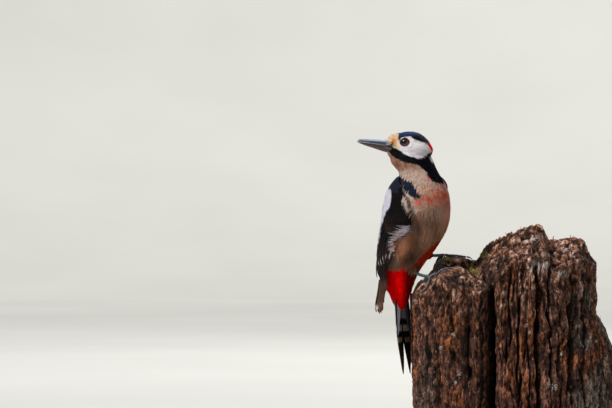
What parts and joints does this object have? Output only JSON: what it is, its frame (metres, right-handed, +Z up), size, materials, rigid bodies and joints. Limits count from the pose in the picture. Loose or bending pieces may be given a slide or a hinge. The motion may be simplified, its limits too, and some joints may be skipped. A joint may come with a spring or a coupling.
{
  "type": "great spotted woodpecker on a post",
  "caption": "Life-size still model of an adult male great spotted woodpecker clinging to a weathered post top, on a plain display stand.",
  "frame": {"origin": "centre of the underside of the stand's base", "axes": "+Z up; the bill points along -X; -Y is the side nearest the camera of the reference view, with the bird's left face and right wing"},
  "size_m": [0.2394, 0.156, 0.2736],
  "materials": {
    "plumage_pale": "soft plumage, off-white",
    "plumage_black": "plumage, blue-black with a faint sheen",
    "plumage_buff": "loose plumage, buff-brown with a red vent",
    "bill_horn": "slate-grey horn, satin",
    "eye": "wet gloss, dark red iris",
    "leg_skin": "scaly skin, blue-grey",
    "claw_horn": "dark horn",
    "weathered_wood": "weathered, red-brown, deeply grooved",
    "stand_wood": "dark stained, satin",
    "stand_steel": "brushed"
  },
  "bodies": {
    "root": {"head": "plumage_pale", "neck": "plumage_black", "trunk": "plumage_buff", "bill_upper": "bill_horn", "bill_lower": "bill_horn", "eye_right": "eye", "eye_left": "eye", "wing_right": "plumage_black", "wing_left": "plumage_black", "tail": "plumage_black", "thigh_right": "plumage_buff", "shank_right": "leg_skin", "toe_right_1": "leg_skin", "toe_right_2": "leg_skin", "toe_right_3": "leg_skin", "toe_right_4": "leg_skin", "claw_right_1": "claw_horn", "claw_right_2": "claw_horn", "claw_right_3": "claw_horn", "claw_right_4": "claw_horn", "thigh_left": "plumage_buff", "shank_left": "leg_skin", "toe_left_1": "leg_skin", "toe_left_2": "leg_skin", "toe_left_3": "leg_skin", "toe_left_4": "leg_skin", "claw_left_1": "claw_horn", "claw_left_2": "claw_horn", "claw_left_3": "claw_horn", "claw_left_4": "claw_horn", "perch": "weathered_wood", "stand_base": "stand_wood", "stand_rod_left": "stand_steel", "stand_rod_right": "stand_steel"}
  },
  "joints": []
}
